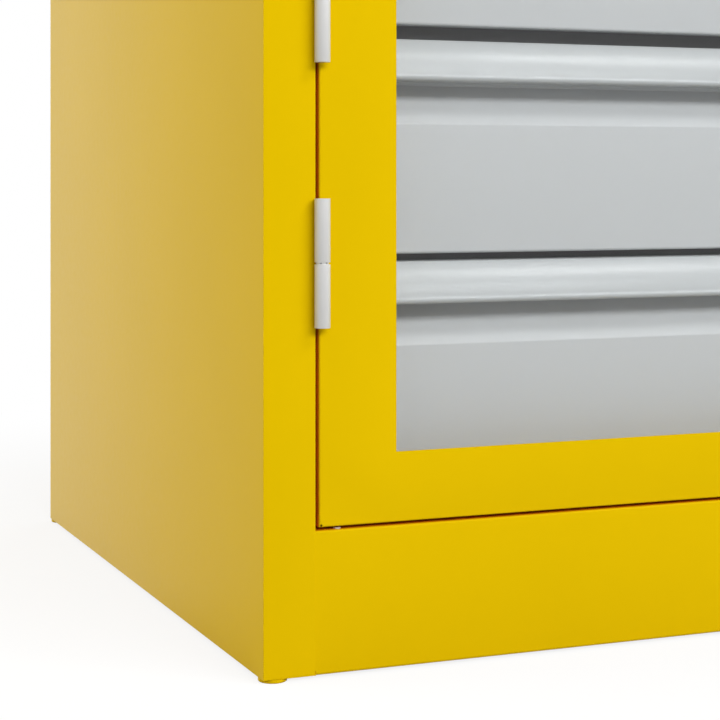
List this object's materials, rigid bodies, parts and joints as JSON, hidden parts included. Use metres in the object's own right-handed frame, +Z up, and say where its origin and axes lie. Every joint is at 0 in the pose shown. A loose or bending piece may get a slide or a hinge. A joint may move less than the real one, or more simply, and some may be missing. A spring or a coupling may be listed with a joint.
{
  "type": "reagent drawer cabinet",
  "caption": "Low sheet-steel lab cabinet with a plinth, a hinged framed window door and grip-front drawers behind it on telescopic runners.",
  "frame": {"origin": "on the floor, at the middle of the width and of the whole depth including the knob", "axes": "+Z up, the door faces -Y, +X to the right seen from the front"},
  "size_m": [0.6, 0.6208, 0.6325],
  "materials": {
    "yellow_powder_coat": "semi-gloss",
    "anthracite_powder_coat": "matt",
    "light_grey_powder_coat": "semi-matt",
    "grip_end_plastic": "matt",
    "zinc_plate": "satin",
    "pin_steel": "polished",
    "clear_glass": "polished",
    "black_tape": "matt",
    "grey_rubber": "matt",
    "white_nylon": "satin",
    "satin_nickel": "satin",
    "brass_core": "satin"
  },
  "bodies": {
    "cabinet": {"left_side_panel": "yellow_powder_coat", "right_side_panel": "yellow_powder_coat", "plinth_panel": "yellow_powder_coat", "header_rail": "yellow_powder_coat", "floor_panel": "yellow_powder_coat", "top_panel": "yellow_powder_coat", "rear_panel": "yellow_powder_coat", "left_spacer": "anthracite_powder_coat", "right_spacer": "anthracite_powder_coat", "cross_rails": "anthracite_powder_coat", "hinge_frame_leaf_lower": "zinc_plate", "hinge_frame_leaf_upper": "zinc_plate", "hinge_pins": "pin_steel", "hinge_washers": "pin_steel", "door_buffers": "grey_rubber", "door_rest_pads": "white_nylon", "foot_nuts": "zinc_plate", "foot_front_left": "yellow_powder_coat", "foot_front_right": "yellow_powder_coat", "foot_rear_left": "yellow_powder_coat", "foot_rear_right": "yellow_powder_coat", "drawer_1_fixed_runners": "zinc_plate", "drawer_2_fixed_runners": "zinc_plate", "drawer_3_fixed_runners": "zinc_plate"},
    "door": {"door_skin": "yellow_powder_coat", "door_stiffeners": "yellow_powder_coat", "window_pane": "clear_glass", "pane_tape": "black_tape", "glazing_beads": "yellow_powder_coat", "bead_screws": "zinc_plate", "lock_housing": "satin_nickel", "lock_nut": "zinc_plate", "hinge_door_leaf_lower": "zinc_plate", "hinge_door_leaf_upper": "zinc_plate"},
    "lock": {"lock_knob": "satin_nickel", "lock_spindle": "zinc_plate", "lock_cam": "zinc_plate", "key_cylinder": "brass_core"},
    "drawer_1": {"drawer_1_tray": "light_grey_powder_coat", "drawer_1_front": "light_grey_powder_coat", "drawer_1_grip": "light_grey_powder_coat", "drawer_1_grip_ends": "grip_end_plastic", "drawer_1_inner_runners": "zinc_plate"},
    "drawer_1_slide_members": {"drawer_1_middle_runners": "zinc_plate"},
    "drawer_2": {"drawer_2_tray": "light_grey_powder_coat", "drawer_2_front": "light_grey_powder_coat", "drawer_2_grip": "light_grey_powder_coat", "drawer_2_grip_ends": "grip_end_plastic", "drawer_2_inner_runners": "zinc_plate"},
    "drawer_2_slide_members": {"drawer_2_middle_runners": "zinc_plate"},
    "drawer_3": {"drawer_3_tray": "light_grey_powder_coat", "drawer_3_front": "light_grey_powder_coat", "drawer_3_grip": "light_grey_powder_coat", "drawer_3_grip_ends": "grip_end_plastic", "drawer_3_inner_runners": "zinc_plate"},
    "drawer_3_slide_members": {"drawer_3_middle_runners": "zinc_plate"}
  },
  "joints": [
    {"name": "door_swing", "type": "hinge", "parent": "cabinet", "child": "door", "pos_m": [-0.2628, -0.295, 0.3454], "axis": [0, 0, -1], "range_deg": [0, 180]},
    {"name": "lock_turn", "type": "hinge", "parent": "door", "child": "lock", "pos_m": [0.23915, -0.2924, 0.3454], "axis": [0, 1, 0], "range_deg": [0, 90]},
    {"name": "drawer_1_slide", "type": "slide", "parent": "cabinet", "child": "drawer_1", "axis": [0, -1, 0], "range_m": [0, 0.4]},
    {"name": "drawer_1_middle_slide", "type": "slide", "parent": "cabinet", "child": "drawer_1_slide_members", "axis": [0, -1, 0], "range_m": [0, 0.2]},
    {"name": "drawer_2_slide", "type": "slide", "parent": "cabinet", "child": "drawer_2", "axis": [0, -1, 0], "range_m": [0, 0.4]},
    {"name": "drawer_2_middle_slide", "type": "slide", "parent": "cabinet", "child": "drawer_2_slide_members", "axis": [0, -1, 0], "range_m": [0, 0.2]},
    {"name": "drawer_3_slide", "type": "slide", "parent": "cabinet", "child": "drawer_3", "axis": [0, -1, 0], "range_m": [0, 0.4]},
    {"name": "drawer_3_middle_slide", "type": "slide", "parent": "cabinet", "child": "drawer_3_slide_members", "axis": [0, -1, 0], "range_m": [0, 0.2]}
  ],
  "couplings": [
    {"joint": "drawer_1_slide", "follows": "door_swing", "m_per_rad": 0.06},
    {"joint": "drawer_1_middle_slide", "follows": "door_swing", "m_per_rad": 0.03},
    {"joint": "drawer_2_slide", "follows": "door_swing", "m_per_rad": 0.06},
    {"joint": "drawer_2_middle_slide", "follows": "door_swing", "m_per_rad": 0.03},
    {"joint": "drawer_3_slide", "follows": "door_swing", "m_per_rad": 0.06},
    {"joint": "drawer_3_middle_slide", "follows": "door_swing", "m_per_rad": 0.03}
  ]
}
